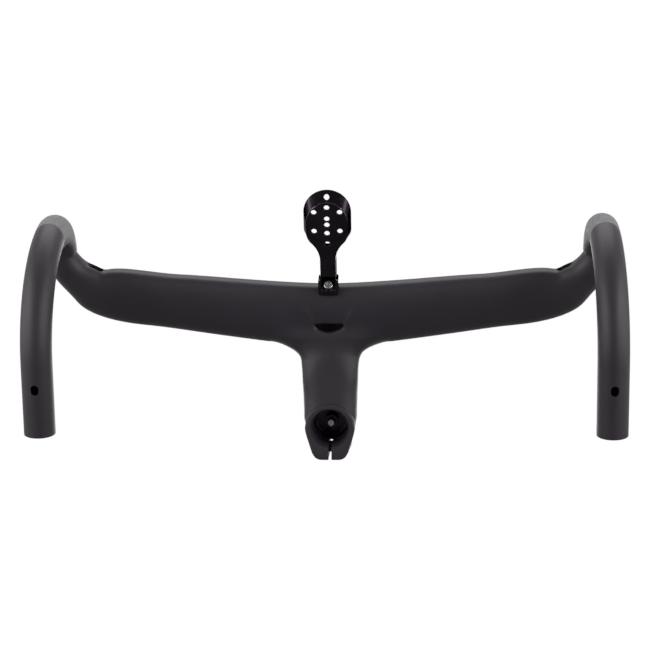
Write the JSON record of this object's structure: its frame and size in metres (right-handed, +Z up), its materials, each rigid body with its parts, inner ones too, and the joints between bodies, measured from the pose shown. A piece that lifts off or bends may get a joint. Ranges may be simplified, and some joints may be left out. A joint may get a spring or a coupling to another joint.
{
  "type": "integrated handlebar stem",
  "caption": "One-piece road bicycle handlebar and stem: aero top bar, round hooks and drops, split steerer clamp with cap, hose openings and a bowl-shaped computer mount.",
  "frame": {"origin": "on the steerer axis, at half the steerer clamp's height", "axes": "+Z up along the steerer axis, -Y towards the front of the bike, +X towards the rider's left"},
  "size_m": [0.4546, 0.2194, 0.1581],
  "materials": {
    "carbon": "satin clear coat over black carbon fibre",
    "anodised_black": "glossy black anodised",
    "steel": "stainless",
    "black_steel": "black oxide",
    "brass": "machined"
  },
  "bodies": {
    "root": {"cockpit_body": "carbon", "pinch_bolts": "black_steel", "pinch_barrels": "steel", "top_cap": "anodised_black", "top_cap_bolt": "steel", "computer_mount": "anodised_black", "mount_screw": "steel", "mount_insert": "brass"}
  },
  "joints": []
}
